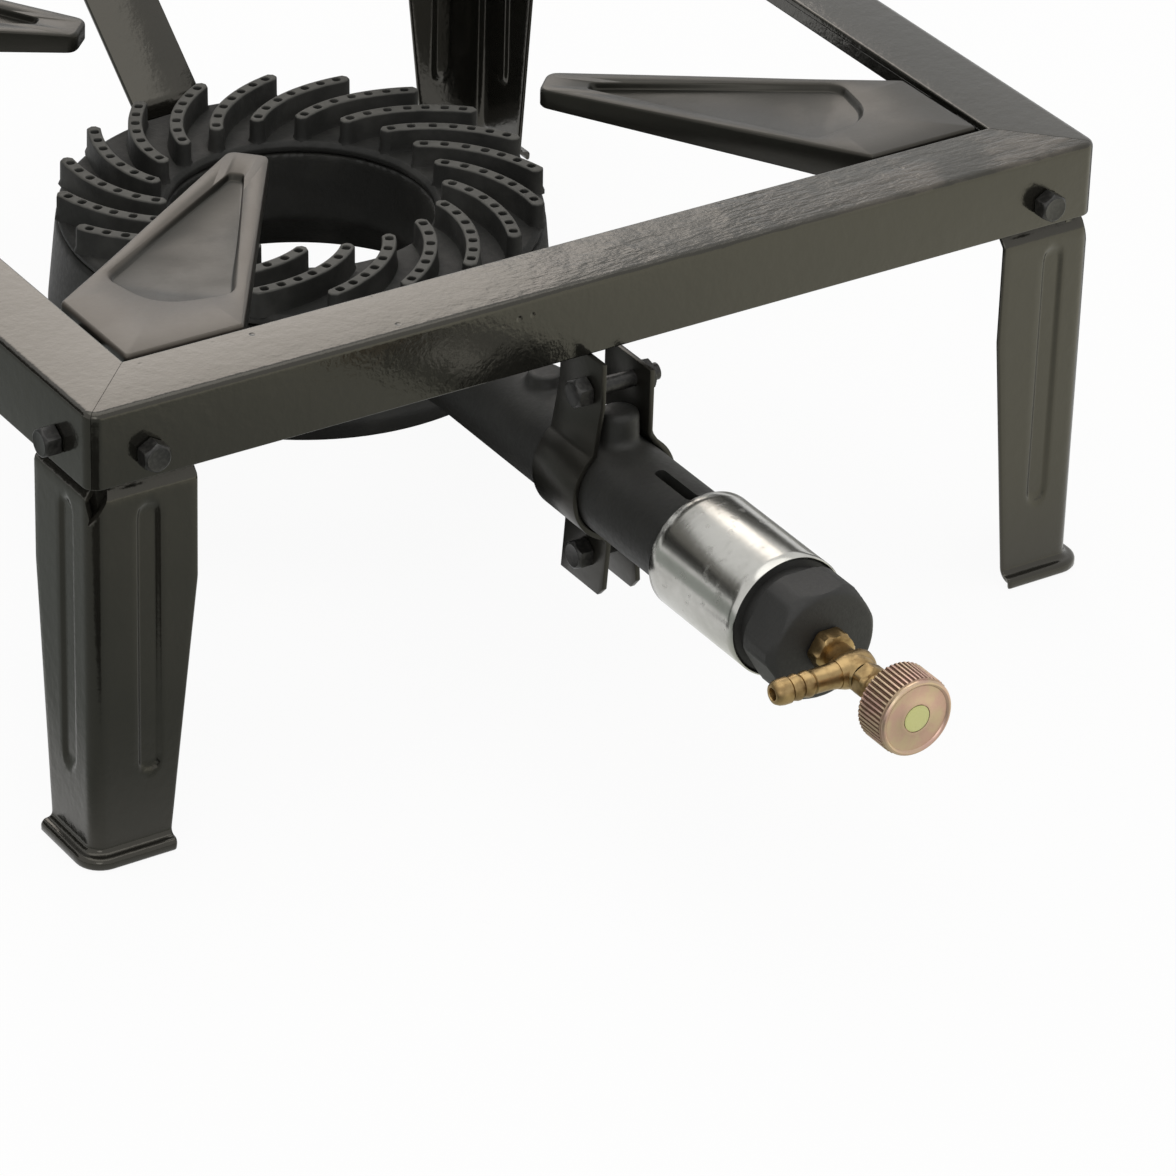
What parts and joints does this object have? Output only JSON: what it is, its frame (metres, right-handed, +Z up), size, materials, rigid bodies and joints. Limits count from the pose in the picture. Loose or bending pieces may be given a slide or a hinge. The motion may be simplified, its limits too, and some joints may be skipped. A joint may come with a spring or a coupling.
{
  "type": "propane burner stand",
  "caption": "Low square angle-iron stand on pressed legs, with pot supports round a spiral-ribbed cast ring burner fed by a mixer tube with air sleeve, needle valve and hose barb.",
  "frame": {"origin": "on the floor under the middle of the bounding box", "axes": "+Z up, the mixer tube and valve reach out along -Y, the hose barb points to -X"},
  "size_m": [0.4126, 0.5878, 0.17],
  "materials": {
    "black_paint": "satin black enamel on sheet and angle steel",
    "cast_iron": "matte black casting with worn rib tops",
    "zinc_plate": "bright zinc-plated sheet",
    "dark_steel": "blackened hexagon fasteners",
    "brass": "turned brass",
    "yellow_zinc": "yellow passivated, straight knurl",
    "green_disc": "plain green disc",
    "grey_iron": "matte dark grey casting"
  },
  "bodies": {
    "stand": {"frame_front": "black_paint", "frame_right": "black_paint", "frame_back": "black_paint", "frame_left": "black_paint", "leg_front_left": "black_paint", "leg_front_right": "black_paint", "leg_back_right": "black_paint", "leg_back_left": "black_paint", "pot_support_front_left": "black_paint", "pot_support_front_right": "black_paint", "pot_support_back_right": "black_paint", "pot_support_back_left": "black_paint", "clamp_hanger": "black_paint", "clamp_half": "black_paint", "rear_strap": "black_paint", "burner_crown": "cast_iron", "burner_bowl": "cast_iron", "leg_bolt_front_left_a": "dark_steel", "leg_bolt_front_left_b": "dark_steel", "leg_nut_front_left_a": "dark_steel", "leg_nut_front_left_b": "dark_steel", "leg_bolt_front_right_a": "dark_steel", "leg_bolt_front_right_b": "dark_steel", "leg_nut_front_right_a": "dark_steel", "leg_nut_front_right_b": "dark_steel", "leg_bolt_back_right_a": "dark_steel", "leg_bolt_back_right_b": "dark_steel", "leg_nut_back_right_a": "dark_steel", "leg_nut_back_right_b": "dark_steel", "leg_bolt_back_left_a": "dark_steel", "leg_bolt_back_left_b": "dark_steel", "leg_nut_back_left_a": "dark_steel", "leg_nut_back_left_b": "dark_steel", "clamp_bolt_top": "dark_steel", "clamp_bolt_ear": "dark_steel", "clamp_nut_top": "dark_steel", "clamp_nut_ear": "dark_steel", "strap_bolt": "dark_steel", "injector_jet": "brass", "valve_body": "brass", "hose_barb": "brass", "gland_nut": "brass", "nozzle_cap": "grey_iron"},
    "sleeve": {"air_sleeve": "zinc_plate"},
    "knob": {"valve_needle": "brass", "valve_knob": "yellow_zinc", "knob_disc": "green_disc"}
  },
  "joints": [
    {"name": "air_slide", "type": "slide", "parent": "stand", "child": "sleeve", "axis": [0, 1, 0], "range_m": [0, 0.02]},
    {"name": "knob_turn", "type": "hinge", "parent": "stand", "child": "knob", "pos_m": [0, -0.28635, 0.0925], "axis": [0, -1, 0], "range_deg": [0, 720]}
  ]
}
